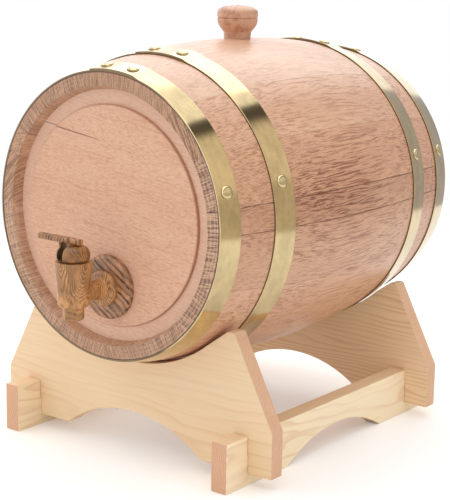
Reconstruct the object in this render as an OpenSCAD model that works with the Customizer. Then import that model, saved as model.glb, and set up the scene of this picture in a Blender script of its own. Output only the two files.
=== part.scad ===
// A small oak cask with a wooden tap, lying on a pine cradle stand.
// The cask lies along Y with its tap end facing -Y, and +Z is up. The origin is
// on the ground, under the middle of the whole object.
// Distances called "from the front" run from the cask's front end towards +Y.

/* [Cask] */
// Length of the cask between its two ends
cask_length = 263; // [258:0.5:268]
// Outer radius of the wood at both ends
end_radius = 90; // [88:0.5:91]
// Outer radius of the wood at the middle of the length
belly_radius = 104.8; // [103:0.1:106]
// Height of the cask's centre line above the ground
axis_height = 159.1; // [158:0.1:162]
// Thickness of the staves
stave_t = 11; // [10:0.5:12]
// Angle of the first stave joint, up from +X
first_joint = 53; // [50:1:54]

/* [Heads] */
// Inner radius of the staves' bevelled rim at the very end
rim_radius = 81.1; // [80:0.1:82]
// Inner radius of the staves where they meet the head
chime_radius = 78.8; // [78:0.1:79.5]
// Depth from the cask's end to the head's raised panel
panel_depth = 4.8; // [4:0.1:6]
// Radius of the head's raised panel
panel_radius = 69.6; // [66:0.1:72]
// Depth from the cask's end to the ring around the panel
ring_depth = 7; // [6.5:0.1:8]
// Thickness of the head at its panel
head_t = 10; // [9:0.5:11]
// Tilt of the planks of the front head
front_tilt = 8; // [0:1:12]
// Tilt of the planks of the rear head
rear_tilt = -5; // [-12:1:12]

/* [Hoops] */
// Thickness of the hoop strip
hoop_t = 0.9; // [0.7:0.1:1.1]
// Width of the hoop at the front end
front_hoop_w = 15.5; // [15:0.5:18]
// Width of the hoop at the rear end
rear_hoop_w = 19; // [17:0.5:20]
// Width of the two inner hoops
inner_hoop_w = 17.5; // [16:0.5:18]
// Distance of the front inner hoop from the front
inner_hoop_front = 43.6; // [42:0.1:45]
// Distance of the rear inner hoop from the front
inner_hoop_rear = 201.5; // [199:0.1:203]
// Diameter of a tack's domed head
tack_d = 7.8; // [7:0.1:8]

/* [Tap] */
// Height of the tap's tail and rosette below the cask's centre line
tap_drop = 44.3; // [40:0.1:48]
// Distance of the tap's upright axis in front of the cask
tap_reach = 28; // [27:0.5:32]
// Diameter of the rosette
rosette_d = 40.5; // [38:0.5:44]
// Thickness of the rosette
rosette_t = 5; // [4:0.5:6]
// Diameter of the tap body at its top
tap_d = 23; // [21:0.1:24]
// Diameter of the tail that is driven into the head
tail_d = 13; // [12:0.5:14]
// Diameter of the waterway through the tail and the nozzle
waterway_d = 6; // [5:0.5:6]
// Length of the flat lever
lever_length = 34.4; // [30:0.2:42]

/* [Bung] */
// Diameter of the bung's knob
bung_d = 27.4; // [25:0.1:29]
// Height of the bung above the wood
bung_height = 22; // [20:0.5:26]
// Diameter of the bung hole at the outside of the stave
bung_hole_d = 18; // [16:0.5:19]

/* [Stand] */
// Half of the width of a cradle board
board_half_w = 112.7; // [108:0.1:118]
// Thickness of a cradle board
board_t = 11.3; // [10:0.1:12]
// Distance of the front board from the cask's front
board_front = 26.1; // [25:0.1:28]
// Distance of the rear board from the cask's front
board_rear = 211.9; // [210:0.1:213]
// Thickness of a rail
rail_t = 11.6; // [10:0.1:13]
// Height of a rail
rail_h = 32; // [28:0.5:34]
// Length of a rail
rail_length = 240; // [232:1:246]
// Distance of a rail's middle from the centre plane
rail_x = 88.9; // [86:0.1:91]

/* [Hidden] */
$fn = 96;

// How far a cutting shape runs past a face, and a length beyond anything it cuts
spare = 1;
through = 50;

// Places along Y
cask_y = -(cask_length - tap_reach - tap_d / 2) / 2;
tap_y = cask_y - tap_reach;
stand_y = cask_y + (board_front + board_rear + board_t) / 2;

// Staves: how wide each one is, in degrees, anticlockwise from the first joint
stave_widths = [24, 25, 23.5, 20.5, 11.5, 22.5, 23, 23, 21, 23, 22, 24, 21.5, 22, 10, 21.5, 22];
stave_count = len(stave_widths);
croze_w = 5;
croze_radius = 82;
croze_fit = 0.1;
behind_croze = wood_radius(ring_depth + croze_w) - stave_t - 1;
behind_croze_gap = 0.3;
chime_back = 30;
belly_flat = 36;
hoop_starts = [0, inner_hoop_front, inner_hoop_rear, cask_length - rear_hoop_w];
hoop_ends = [front_hoop_w, inner_hoop_front + inner_hoop_w, inner_hoop_rear + inner_hoop_w, cask_length];
belly_from = cask_length / 2 - belly_flat / 2;
belly_to = cask_length / 2 + belly_flat / 2;
outer_stations = [
    hoop_starts[0], hoop_ends[0], hoop_starts[1], hoop_ends[1],
    (hoop_ends[1] + belly_from) / 2, belly_from, belly_to, (hoop_starts[2] + belly_to) / 2,
    hoop_starts[2], hoop_ends[2], hoop_starts[3], hoop_ends[3]
];
inner_stations = [
    chime_back, (chime_back + belly_from) / 2, belly_from,
    belly_to, cask_length - (chime_back + belly_from) / 2, cask_length - chime_back
];

// Head planks: the joints' distances from the centre, square to the planks
plank_joints = [-croze_radius, -18, 45.4, croze_radius];
head_back_radius = 74;

// Hoop laps and tacks
lap_from = 76;
lap_to = 98;
tack_angles = [93, 80, 16, 164];
lapped_tacks = 2;
tack_h = 1.9;
tack_seat = 0.25;
tack_seat_d = tack_d + 1;
shank_d = 2.4;
shank_fit = 0.1;
shank_length = 7;

// Tap
rosette_edge = 1.6;
tap_z = axis_height - tap_drop;
tap_top = tap_z + 21.4;
nozzle_bottom = tap_z - 14.8;
shoulder_z = tap_z - 6.6;
shoulder_d = tap_d - 3.8;
nozzle_d = 13.2;
turned_edge = 0.9;
neck_d = 12.4;
neck_flare = 1.5;
flange_d = 22.4;
flange_t = 4.3;
flange_edge = 1.6;
tail_length = 24;
tail_bevel = 1.5;
tail_fit = 0.08;
cork_d = 13;
cork_below_top = 1;
plug_d = 9.6;
plug_fit = 0.05;
seat_bottom = tap_z - 5.5;
seat_gap = 0.5;
bead_d = 20.8;
bead_h = 9.4;
// The bead's outline from its bottom up: distance in from its widest part, and height
bead_outline = [[1.6, 0], [0.4, 1.4], [0, 3.6], [0.4, 5.8], [1.5, 7.6], [3.2, 8.9], [5, bead_h]];
bead_gap = 0.4;
neck_size = [8.8, 11.4];
neck_shift = -2.3;
neck_h = 2;
slot_w = 5.6;
slot_shift = -2.2;
slot_in_neck = 2;
slot_depth = (bead_d - neck_size[1]) / 2 + slot_in_neck;
slot_floor = 1;
lever_w = 4.6;
lever_t = 3.4;
lever_right = 6.2;
lever_notch = 1.1;

// Bung
bung_y = cask_y + cask_length / 2;
bung_base = axis_height + belly_radius;
bung_taper = 1 / 14;
bung_neck_step = 0.3;
// The knob's outline from its neck up: distance in from its widest part, and below its top
bung_knob = [
    [4.1, 17.4], [2.9, 15.8], [1.7, 14.3], [0.5, 11.8], [0.1, 9.2], [0.7, 8.5], [0.1, 7.8],
    [0, 6.8], [0.4, 3.4], [2.2, 2], [5.4, 0.9]
];
bung_fit = 0.1;
plug_depth = 16;

// Stand
board_bottom = 7.6;
side_top = 37;
horn_lean = 27.5;
horn_round = 1.5;
// Horns of the front and rear board: where the saddle ends in a straight flare, where the flare
// meets the horn's top, and the height of that top
front_horn = [61, 77, 94.8];
rear_horn = [68, 79, 93];
arch_top = 27.5;
arch_radius = 91.2;
rail_arch_rise = 15.6;
rail_arch_half = 55;
lap_height = (rail_h - board_bottom) / 2;
lap_fit = 0.1;
cradle_gap = 0.3;

// Outer radius of the wood at a distance s from the front
function wood_radius(s) =
    belly_radius - (belly_radius - end_radius) * pow(2 * s / cask_length - 1, 2);

// Radius of the saddle that clears the cask at a distance s from the front
function saddle_radius(s) = wood_radius(s) + cradle_gap;

// Angle where stave i starts
function stave_start(i) = i == 0 ? first_joint : stave_start(i - 1) + stave_widths[i - 1];

// Six points along an arc
function arc_points(x, y, r, from, to) =
    [for (k = [0:5]) let (a = from + (to - from) * k / 5) [x + r * cos(a), y + r * sin(a)]];

// Frame on the cask's axis: local Z runs from the front to the rear, and an angle
// up from +X is a negative turn about it
module on_cask() {
    translate([0, cask_y, axis_height])
        rotate([-90, 0, 0])
            children();
}

// The same frame, on the tap's tail
module on_tail() {
    translate([0, cask_y, tap_z])
        rotate([-90, 0, 0])
            children();
}

// Part of a turned ring between two angles up from +X
module sector(from, to) {
    rotate([0, 0, -to])
        rotate_extrude(angle = to - from)
            children();
}

// Frame of a tack: local Z leaves the hoop at right angles, from the hoop's inside
module on_tack(hoop, angle) {
    s0 = hoop_starts[hoop];
    s1 = hoop_ends[hoop];
    lean = atan((wood_radius(s1) - wood_radius(s0)) / (s1 - s0));
    on_cask()
        rotate([0, 0, -angle])
            translate([(wood_radius(s0) + wood_radius(s1)) / 2, 0, (s0 + s1) / 2])
                rotate([0, 90 + lean, 0])
                    children();
}

// How far tack number n stands off the wood
function tack_rise(n) = (n < lapped_tacks ? 2 : 1) * hoop_t - tack_seat;

module tack_hole(hoop, n) {
    on_tack(hoop, tack_angles[n])
        translate([0, 0, tack_rise(n) - shank_length - spare])
            cylinder(d = shank_d + shank_fit, h = shank_length + 4 * spare);
}

module bung_hole() {
    above = 4;
    depth = stave_t + 6;
    translate([0, bung_y, bung_base - depth])
        cylinder(
            d1 = bung_hole_d - depth * bung_taper,
            d2 = bung_hole_d + above * bung_taper,
            h = depth + above
        );
}

// Section of the staves, with the rim's bevel and the croze groove at both ends
module stave_section() {
    back = ring_depth + croze_w;
    polygon(concat(
        [for (s = outer_stations) [wood_radius(s), s]],
        [
            [rim_radius, cask_length],
            [chime_radius, cask_length - ring_depth],
            [croze_radius, cask_length - ring_depth],
            [croze_radius, cask_length - back],
            [behind_croze, cask_length - back]
        ],
        [for (k = [5:-1:0]) [wood_radius(inner_stations[k]) - stave_t, inner_stations[k]]],
        [
            [behind_croze, back],
            [croze_radius, back],
            [croze_radius, ring_depth],
            [chime_radius, ring_depth],
            [rim_radius, 0]
        ]
    ));
}

module stave(i) {
    from = stave_start(i);
    to = from + stave_widths[i];
    shades = ["#cf9f80", "#d6a98b", "#c69475"];
    color(shades[i % 3])
        difference() {
            on_cask()
                sector(from, to)
                    stave_section();
            for (hoop = [0:3], n = [0:3])
                if (tack_angles[n] > from - 360 && tack_angles[n] < to)
                    if (tack_angles[n] > from || tack_angles[n] + 360 < to)
                        tack_hole(hoop, n);
            if (from < 90 && to > 90)
                bung_hole();
        }
}

// Section of a head, from its face towards the inside of the cask
module head_section() {
    edge = croze_radius - croze_fit;
    polygon([
        [0, panel_depth],
        [panel_radius, panel_depth],
        [panel_radius, ring_depth],
        [edge, ring_depth],
        [edge, ring_depth + croze_w],
        [behind_croze - behind_croze_gap, ring_depth + croze_w],
        [head_back_radius, panel_depth + head_t],
        [0, panel_depth + head_t]
    ]);
}

// The space of one plank: a slab between two of the planks' joints
module plank_space(k, tilt) {
    translate([0, 0, axis_height])
        rotate([0, tilt, 0])
            translate([-croze_radius, cask_y, plank_joints[k]])
                cube([2 * croze_radius, cask_length, plank_joints[k + 1] - plank_joints[k]]);
}

module front_plank(k) {
    color("#e0b394")
        difference() {
            intersection() {
                on_cask()
                    rotate_extrude()
                        head_section();
                plank_space(k, front_tilt);
            }
            on_tail()
                cylinder(d = tail_d, h = through);
        }
}

module rear_plank(k) {
    color("#dcae90")
        intersection() {
            on_cask()
                translate([0, 0, cask_length])
                    rotate([180, 0, 0])
                        rotate_extrude()
                            head_section();
            plank_space(k, rear_tilt);
        }
}

// Section of a hoop between two heights above the wood
module hoop_section(hoop, inside, outside) {
    s0 = hoop_starts[hoop];
    s1 = hoop_ends[hoop];
    polygon([
        [wood_radius(s0) + inside, s0],
        [wood_radius(s0) + outside, s0],
        [wood_radius(s1) + outside, s1],
        [wood_radius(s1) + inside, s1]
    ]);
}

// A hoop: one strip, twice as thick where its ends overlap, with a seat for each tack
module hoop(k) {
    color("#c9b573")
        difference() {
            on_cask() {
                rotate_extrude()
                    hoop_section(k, 0, hoop_t);
                sector(lap_from, lap_to)
                    hoop_section(k, hoop_t / 2, 2 * hoop_t);
            }
            for (n = [0:3]) {
                tack_hole(k, n);
                on_tack(k, tack_angles[n])
                    translate([0, 0, tack_rise(n)])
                        cylinder(d = tack_seat_d, h = 3 * spare);
            }
        }
}

// The tacks of one hoop: a low dome on a shank
module tacks(hoop) {
    sphere_r = (pow(tack_d / 2, 2) + pow(tack_h, 2)) / (2 * tack_h);
    color("#d8c98c")
        for (n = [0:3])
            on_tack(hoop, tack_angles[n])
                translate([0, 0, tack_rise(n)]) {
                    intersection() {
                        translate([0, 0, tack_h - sphere_r])
                            sphere(r = sphere_r);
                        cylinder(d = tack_d + spare, h = tack_h + spare);
                    }
                    translate([0, 0, -shank_length])
                        cylinder(d = shank_d, h = shank_length + tack_h / 2);
                }
}

module rosette() {
    front = panel_depth - rosette_t;
    color("#6d4a33")
        on_tail()
            rotate_extrude()
                polygon([
                    [tail_d / 2, panel_depth],
                    [rosette_d / 2, panel_depth],
                    [rosette_d / 2, front + rosette_edge],
                    [rosette_d / 2 - rosette_edge * 0.3, front + rosette_edge * 0.3],
                    [rosette_d / 2 - rosette_edge, front],
                    [tail_d / 2, front]
                ]);
}

// Tap: a turned upright body on a turned tail, bored for the key's cork and the waterway
module tap_body() {
    flange_back = panel_depth - rosette_t;
    color("#b3884f")
        difference() {
            union() {
                translate([0, tap_y, 0])
                    rotate_extrude()
                        polygon([
                            [0, nozzle_bottom],
                            [nozzle_d / 2 - turned_edge, nozzle_bottom],
                            [nozzle_d / 2, nozzle_bottom + turned_edge],
                            [nozzle_d / 2, shoulder_z - turned_edge],
                            [shoulder_d / 2 - turned_edge, shoulder_z],
                            [shoulder_d / 2, shoulder_z + turned_edge],
                            [tap_d / 2, tap_top - turned_edge],
                            [tap_d / 2 - turned_edge, tap_top],
                            [0, tap_top]
                        ]);
                on_tail()
                    rotate_extrude()
                        polygon([
                            [0, -tap_reach],
                            [neck_d / 2, -tap_reach],
                            [neck_d / 2, flange_back - flange_t - neck_flare],
                            [neck_d / 2 + neck_flare, flange_back - flange_t],
                            [flange_d / 2 - flange_edge, flange_back - flange_t],
                            [flange_d / 2, flange_back - flange_t + flange_edge],
                            [flange_d / 2, flange_back],
                            [tail_d / 2 - tail_fit, flange_back],
                            [tail_d / 2 - tail_fit, tail_length - tail_bevel],
                            [tail_d / 2 - tail_bevel, tail_length],
                            [0, tail_length]
                        ]);
            }
            translate([0, tap_y, seat_bottom])
                cylinder(d = cork_d, h = through);
            translate([0, tap_y, nozzle_bottom - spare])
                cylinder(d = waterway_d, h = tap_z - nozzle_bottom);
            on_tail()
                translate([0, 0, -tap_reach])
                    cylinder(d = waterway_d, h = tap_reach + tail_length + spare);
        }
}

// Cork sleeve that seals the key, holed towards the tail
module tap_cork() {
    color("#c9a06e")
        difference() {
            translate([0, tap_y, seat_bottom])
                cylinder(d = cork_d, h = tap_top - seat_bottom - cork_below_top);
            translate([0, tap_y, seat_bottom - spare])
                cylinder(d = plug_d + 2 * plug_fit, h = through);
            on_tail()
                translate([0, 0, -tap_reach])
                    cylinder(d = waterway_d, h = tap_reach);
        }
}

// Key: a plug with a side port and an outlet below, a turned bead and a squared neck with
// one slot down their front. The port faces +X while the tap is closed.
module tap_key() {
    bead_bottom = tap_top + bead_gap;
    bead_top = bead_bottom + bead_h;
    color("#a97a4a")
        difference() {
            union() {
                translate([0, tap_y, 0])
                    rotate_extrude()
                        polygon(concat(
                            [
                                [0, seat_bottom + seat_gap],
                                [plug_d / 2, seat_bottom + seat_gap],
                                [plug_d / 2, bead_bottom]
                            ],
                            [for (p = bead_outline) [bead_d / 2 - p[0], bead_bottom + p[1]]],
                            [[0, bead_top]]
                        ));
                translate([neck_shift - neck_size[0] / 2, tap_y - neck_size[1] / 2, bead_top - spare])
                    cube([neck_size[0], neck_size[1], neck_h + spare]);
            }
            translate([slot_shift - slot_w / 2, tap_y - bead_d / 2 - spare, bead_bottom + slot_floor])
                cube([slot_w, slot_depth + spare, bead_h + neck_h]);
            translate([-through, tap_y - lever_w / 2, bead_top + neck_h - lever_notch])
                cube([2 * through, lever_w, lever_t]);
            translate([0, tap_y, seat_bottom - spare])
                cylinder(d = waterway_d, h = tap_z - seat_bottom + spare);
            translate([0, tap_y, tap_z])
                sphere(d = waterway_d);
            translate([0, tap_y, tap_z])
                rotate([0, 90, 0])
                    cylinder(d = waterway_d, h = through);
        }
}

// Flat lever, let into the top of the key
module tap_lever() {
    color("#9c6f43")
        translate([
            lever_right - lever_length,
            tap_y - lever_w / 2,
            tap_top + bead_gap + bead_h + neck_h - lever_notch
        ])
            cube([lever_length, lever_w, lever_t]);
}

module bung() {
    neck_r = bung_hole_d / 2;
    neck_top = bung_height - bung_knob[0][1] - bung_neck_step;
    color("#b07a5c")
        union() {
            translate([0, bung_y, bung_base - plug_depth])
                cylinder(
                    d1 = bung_hole_d - 2 * bung_fit - plug_depth * bung_taper,
                    d2 = bung_hole_d - 2 * bung_fit,
                    h = plug_depth
                );
            translate([0, bung_y, bung_base])
                rotate_extrude()
                    polygon(concat(
                        [[0, 0], [neck_r - bung_fit, 0], [neck_r + bung_neck_step, neck_top]],
                        [for (p = bung_knob) [bung_d / 2 - p[0], bung_height - p[1]]],
                        [[0, bung_height]]
                    ));
        }
}

// A cradle board: straight sides, horns that lean in, a round saddle and a low arch,
// slotted from below for the rails
module cradle_board(front, saddle, horn) {
    horn_top = horn[2];
    lean_x = board_half_w - (horn_top - side_top) * tan(horn_lean);
    round_x = lean_x + horn_round * (tan(horn_lean) - 1 / cos(horn_lean));
    // The flare runs on a little way inside the saddle's circle, so that the two cross cleanly
    flare_start = [horn[1], horn_top];
    flare_end = [horn[0], axis_height - sqrt(saddle * saddle - horn[0] * horn[0])];
    in_saddle = flare_end + (flare_end - flare_start) / 8;
    half = concat(
        [[board_half_w, board_bottom], [board_half_w, side_top]],
        arc_points(round_x, horn_top - horn_round, horn_round, horn_lean, 90),
        [flare_start, in_saddle, [in_saddle[0], axis_height]]
    );
    other_half = [for (k = [len(half) - 1:-1:0]) [-half[k][0], half[k][1]]];
    color("#e6c7a0")
        difference() {
            translate([0, cask_y + front + board_t, 0])
                rotate([90, 0, 0])
                    linear_extrude(board_t)
                        difference() {
                            polygon(concat(half, other_half));
                            translate([0, axis_height])
                                circle(r = saddle);
                            translate([0, arch_top - arch_radius])
                                circle(r = arch_radius);
                        }
            for (side = [-1, 1])
                translate([
                    side * rail_x - rail_t / 2 - lap_fit,
                    cask_y + front - spare,
                    board_bottom - spare
                ])
                    cube([rail_t + 2 * lap_fit, board_t + 2 * spare, lap_height + spare]);
        }
}

module front_board() {
    cradle_board(board_front, saddle_radius(board_front + board_t), front_horn);
}

// The rear board's saddle also clears the hoop above it
module rear_board() {
    cradle_board(board_rear, saddle_radius(board_rear) + hoop_t, rear_horn);
}

// A rail: arched below, slotted from above for the two boards
module rail(side) {
    arch_r = (pow(rail_arch_half, 2) + pow(rail_arch_rise, 2)) / (2 * rail_arch_rise);
    color("#e3c199")
        translate([side * rail_x, 0, 0])
            difference() {
                translate([-rail_t / 2, stand_y - rail_length / 2, 0])
                    cube([rail_t, rail_length, rail_h]);
                translate([-rail_t, stand_y, rail_arch_rise - arch_r])
                    rotate([0, 90, 0])
                        cylinder(r = arch_r, h = 2 * rail_t);
                for (front = [board_front, board_rear])
                    translate([-rail_t, cask_y + front - lap_fit, board_bottom + lap_height])
                        cube([2 * rail_t, board_t + 2 * lap_fit, rail_h]);
            }
}

STAVES = [for (i = [1:stave_count]) str("stave_", i < 10 ? "0" : "", i)];
FRONT_PLANKS = ["head_front_low", "head_front_mid", "head_front_top"];
REAR_PLANKS = ["head_rear_low", "head_rear_mid", "head_rear_top"];
HOOPS = ["hoop_front_end", "hoop_front_inner", "hoop_rear_inner", "hoop_rear_end"];
TACKS = ["tacks_front_end", "tacks_front_inner", "tacks_rear_inner", "tacks_rear_end"];
SINGLES = [
    "rosette", "tap_body", "tap_cork", "tap_key", "tap_lever", "bung",
    "cradle_front", "cradle_rear", "rail_left", "rail_right"
];

for (i = [0:stave_count - 1])
    stave(i);
for (k = [0:2])
    front_plank(k);
for (k = [0:2])
    rear_plank(k);
for (k = [0:3])
    hoop(k);
for (k = [0:3])
    tacks(k);
rosette();
tap_body();
tap_cork();
tap_key();
tap_lever();
bung();
front_board();  // cradle_front
rear_board();  // cradle_rear
rail(-1);  // rail_left
rail(1);  // rail_right
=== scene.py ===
"""A small oak cask with a wooden tap, lying on a pine cradle stand."""

import math
import random

import bmesh
import bpy
from mathutils import Matrix, Vector


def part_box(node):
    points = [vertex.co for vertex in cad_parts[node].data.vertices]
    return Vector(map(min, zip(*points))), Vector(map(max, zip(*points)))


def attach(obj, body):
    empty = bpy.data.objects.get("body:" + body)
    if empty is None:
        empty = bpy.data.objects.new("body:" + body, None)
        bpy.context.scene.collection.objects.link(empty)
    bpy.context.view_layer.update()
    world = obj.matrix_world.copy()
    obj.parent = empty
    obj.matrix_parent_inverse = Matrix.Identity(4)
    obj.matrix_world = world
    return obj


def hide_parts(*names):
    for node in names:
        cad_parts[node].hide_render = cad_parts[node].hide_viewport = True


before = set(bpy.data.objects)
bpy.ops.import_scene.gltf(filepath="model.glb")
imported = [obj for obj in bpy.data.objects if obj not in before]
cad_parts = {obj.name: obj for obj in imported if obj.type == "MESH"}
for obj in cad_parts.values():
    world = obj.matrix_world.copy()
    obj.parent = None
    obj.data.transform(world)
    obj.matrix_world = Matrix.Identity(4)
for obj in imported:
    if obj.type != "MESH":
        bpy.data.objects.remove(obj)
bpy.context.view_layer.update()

# ---------------------------------------------------------------- sizes, in metres and radians

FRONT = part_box("stave_01")[0].y
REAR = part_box("stave_01")[1].y
LENGTH = REAR - FRONT
END_RADIUS = 0.090
BELLY_RADIUS = 0.1048
AXIS_Z = 0.1591
STAVE_T = 0.011
OPEN_STAVE = 15  # the joints on both its sides stand open
OPEN_JOINT = math.radians(0.1)

RIM_RADIUS = 0.0811
CHIME_RADIUS = 0.0788
CROZE_RADIUS = 0.082
RING_DEPTH = 0.007
CROZE_W = 0.005
PANEL_DEPTH = 0.0048
PANEL_RADIUS = 0.0696
HEAD_T = 0.010
HEAD_BACK_RADIUS = 0.074
FRONT_TILT = math.radians(8)
REAR_TILT = math.radians(-5)

HOOP_T = 0.0009
HOOP_LIFT = 0.0003
# front edges of the last three hoops, along which the staves get a painted shadow line
HOOP_EDGES = [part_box("hoop_" + n)[0].y - FRONT for n in ("front_inner", "rear_inner", "rear_end")]
LAP_FROM = math.radians(76)
LAP_TO = math.radians(98)
LAP_CLIMB = math.radians(3)
TACK_ANGLES = [math.radians(a) for a in (93, 80, 16, 164)]
LAPPED_TACKS = 2
TACK_R = 0.0039
TACK_H = 0.0019
TACK_SEAT = 0.00025

TAP_Y = FRONT - 0.028
TAP_Z = AXIS_Z - 0.0443
TAP_TOP = TAP_Z + 0.0214
TAP_HOLE_R = 0.0065
KEY_SEAT_R = 0.0065
KEY_SEAT_Z = 0.1093  # the seat's floor
BORE_R = 0.003
BEAD_BOTTOM = TAP_TOP + 0.0004
BEAD_TOP = BEAD_BOTTOM + 0.0094
ROSETTE_R = 0.02025
ROSETTE_FRONT = PANEL_DEPTH - 0.005

BUNG_Y = FRONT + LENGTH / 2
BUNG_BASE = AXIS_Z + BELLY_RADIUS
BUNG_HOLE_BOTTOM = BUNG_BASE - 0.018
BUNG_HOLE_H = 0.022
BUNG_HOLE_R = (0.0084, 0.0092)  # at its bottom and its top

STAND_HALF_W = 0.1127
BOARD_Z = 0.0076
RAIL_X = 0.0889
CROSS_Z = 0.0198  # where boards and rails meet in their laps
CROSS_PLAY = 0.0001

# ---------------------------------------------------------------- looks and studio

CREASE = math.radians(40)
JOINT_LINE = 0.0007
# half width of the painted shadow line along the hoops' front edges
HOOP_SHADOW_HALF_W = 0.0007
FLAME_ANGLE = math.radians(9)
FLAME_AT = 0.098  # from the cask's front
FLAME_HALF_W = 0.034
FLAME_HALF_L = 0.09
BARE_INSIDE = (0.0838, 0.0828)  # from the first radius inwards, a stave looks like its ends
END_DARK_EDGE = (END_RADIUS - 0.0010, END_RADIUS - 0.0004)  # a stave's end darkens between these
OPEN_DARK = 0.85  # darkness of an open joint, and of a closed one
CLOSED_DARK = 0.22
HEAD_GAP_X = (-0.025, -0.058)  # the head's open joint begins and is full at these
END_RINGS = 0.55  # spacing of a board's rings at its ends, against that on its sides

AMBIENT = 0.9
CAMERA_GLOW = 0.14
FLOOR_RADIUS = 0.7
CAMERA_AT = (0.5913, -0.75705, 0.3263)
CAMERA_TURN = [math.radians(a) for a in (37.606, 12.05, 1.058)]  # azimuth, elevation, roll
LENS_MM = 103.5
SENSOR_MM = 36
AIM = (0, 0, 0.15)


def wood_radius(s):
    """Outer radius of the cask at a distance s from its front."""
    return BELLY_RADIUS - (BELLY_RADIUS - END_RADIUS) * (2 * s / LENGTH - 1) ** 2


# ---------------------------------------------------------------- mesh helpers


def on_cask(radius, s, angle):
    return Vector((radius * math.cos(angle), FRONT + s, AXIS_Z + radius * math.sin(angle)))


def on_tail(radius, s, angle):
    return Vector((radius * math.cos(angle), FRONT + s, TAP_Z + radius * math.sin(angle)))


def upright(x, y):
    """Place of a point of a piece that is turned about an upright axis through x, y."""
    return lambda radius, z, angle: Vector(
        (x + radius * math.cos(angle), y + radius * math.sin(angle), z))


def spread(first, last, count):
    return [first + (last - first) * k / (count - 1) for k in range(count)]


def rounded(points, radius, steps=4):
    """A closed outline with each corner rounded."""
    out = []
    for k, corner in enumerate(points):
        corner = Vector(corner)
        before, after = Vector(points[k - 1]), Vector(points[(k + 1) % len(points)])
        start, end = (
            corner + (near - corner).normalized() * min(radius, (near - corner).length / 2.1)
            for near in (before, after))
        for t in spread(0, 1, steps):
            out.append(start * (1 - t) ** 2 + corner * 2 * t * (1 - t) + end * t ** 2)
    return out


def smooth_line(points, steps=5):
    """A smooth curve through the points (Catmull-Rom), for turned profiles."""
    points = [Vector(p) for p in points]
    ends = [points[0] * 2 - points[1]] + points + [points[-1] * 2 - points[-2]]
    out = []
    for k in range(len(points) - 1):
        a, b, c, d = ends[k:k + 4]
        for t in spread(0, 1, steps + 1)[:-1]:
            out.append(b + (c - a) * t / 2 + (a * 2 - b * 5 + c * 4 - d) * t ** 2 / 2
                       + (b * 3 - a - c * 3 + d) * t ** 3 / 2)
    return out + [points[-1]]


def outward(bm):
    """Turns the faces of a closed mesh so that they all face out."""
    bmesh.ops.recalc_face_normals(bm, faces=bm.faces)
    return bm


def turned(profile, place, steps=96, closed=False):
    """A solid of revolution. Points on the axis become poles, and a closed profile makes a ring."""
    bm = bmesh.new()
    rings = []
    for radius, height in profile:
        if radius < 1e-7:
            rings.append([bm.verts.new(place(0, height, 0))])
        else:
            rings.append([
                bm.verts.new(place(radius, height, math.tau * k / steps)) for k in range(steps)])
    for low, high in zip(rings, rings[1:] + rings[:1] if closed else rings[1:]):
        for k in range(steps):
            j = (k + 1) % steps
            corners = [
                low[k % len(low)], low[j % len(low)], high[j % len(high)], high[k % len(high)]]
            corners = [v for n, v in enumerate(corners) if v not in corners[:n]]
            if len(corners) > 2:
                bm.faces.new(corners)
    return outward(bm)


def swept(sections, place):
    """A solid through closed sections [(angle, [(radius, height), ...]), ...] around an axis."""
    bm = bmesh.new()
    loops = [[bm.verts.new(place(r, s, angle)) for r, s in section] for angle, section in sections]
    for near, far in zip(loops, loops[1:]):
        for k in range(len(near)):
            j = (k + 1) % len(near)
            bm.faces.new([near[k], near[j], far[j], far[k]])
    bm.faces.new(loops[0])
    bm.faces.new(loops[-1])
    return outward(bm)


def rod(radius, low, high, place, steps):
    """A plain round rod, to drill with."""
    return turned([(0, low), (radius, low), (radius, high), (0, high)], place, steps)


def board(outline, axis, low, high):
    """A board with the given outline, from low to high along axis 0 (X) or 1 (Y)."""
    bm = bmesh.new()

    def corner(u, v, w):
        return Vector((w, u, v)) if axis == 0 else Vector((u, w, v))

    near = [bm.verts.new(corner(u, v, low)) for u, v in outline]
    far = [bm.verts.new(corner(u, v, high)) for u, v in outline]
    for k in range(len(near)):
        j = (k + 1) % len(near)
        bm.faces.new([near[k], near[j], far[j], far[k]])
    bm.faces.new(near)
    bm.faces.new(far)
    return outward(bm)


def block(low, high):
    bm = bmesh.new()
    size = Vector(high) - Vector(low)
    middle = (Vector(high) + Vector(low)) / 2
    matrix = Matrix.Translation(middle) @ Matrix.Diagonal(size.to_4d())
    bmesh.ops.create_cube(bm, size=1, matrix=matrix)
    return bm


def as_object(bm, name):
    mesh = bpy.data.meshes.new(name)
    bm.to_mesh(mesh)
    bm.free()
    obj = bpy.data.objects.new(name, mesh)
    bpy.context.scene.collection.objects.link(obj)
    return obj


def apply_modifiers(obj):
    bpy.context.view_layer.update()
    depsgraph = bpy.context.evaluated_depsgraph_get()
    done = bpy.data.meshes.new_from_object(obj.evaluated_get(depsgraph))
    old = obj.data
    obj.modifiers.clear()
    obj.data = done
    bpy.data.meshes.remove(old)


def carve(obj, cutter, operation="DIFFERENCE"):
    """Joins or cuts obj with another mesh, which is then gone."""
    other = as_object(cutter, "cutter")
    modifier = obj.modifiers.new("carve", "BOOLEAN")
    modifier.operation = operation
    modifier.object = other
    modifier.solver = "EXACT"
    apply_modifiers(obj)
    mesh = other.data
    bpy.data.objects.remove(other)
    bpy.data.meshes.remove(mesh)


def round_edges(obj, width, segments=2, angle=32):
    bevel = obj.modifiers.new("edges", "BEVEL")
    bevel.width = width
    bevel.segments = segments
    bevel.limit_method = "ANGLE"
    bevel.angle_limit = math.radians(angle)
    bevel.use_clamp_overlap = True
    apply_modifiers(obj)


def piece(obj, material, body, slot, *nodes):
    """Shades a finished mesh and puts it in the place of its CAD nodes."""
    mesh = obj.data
    mesh.materials.clear()
    mesh.materials.append(material)
    mesh.shade_smooth()
    mesh.set_sharp_from_angle(angle=CREASE)
    weigh = obj.modifiers.new("normals", "WEIGHTED_NORMAL")
    weigh.keep_sharp = True
    apply_modifiers(obj)
    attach(obj, body)
    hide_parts(*nodes)
    return obj


# ---------------------------------------------------------------- material helpers


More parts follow.
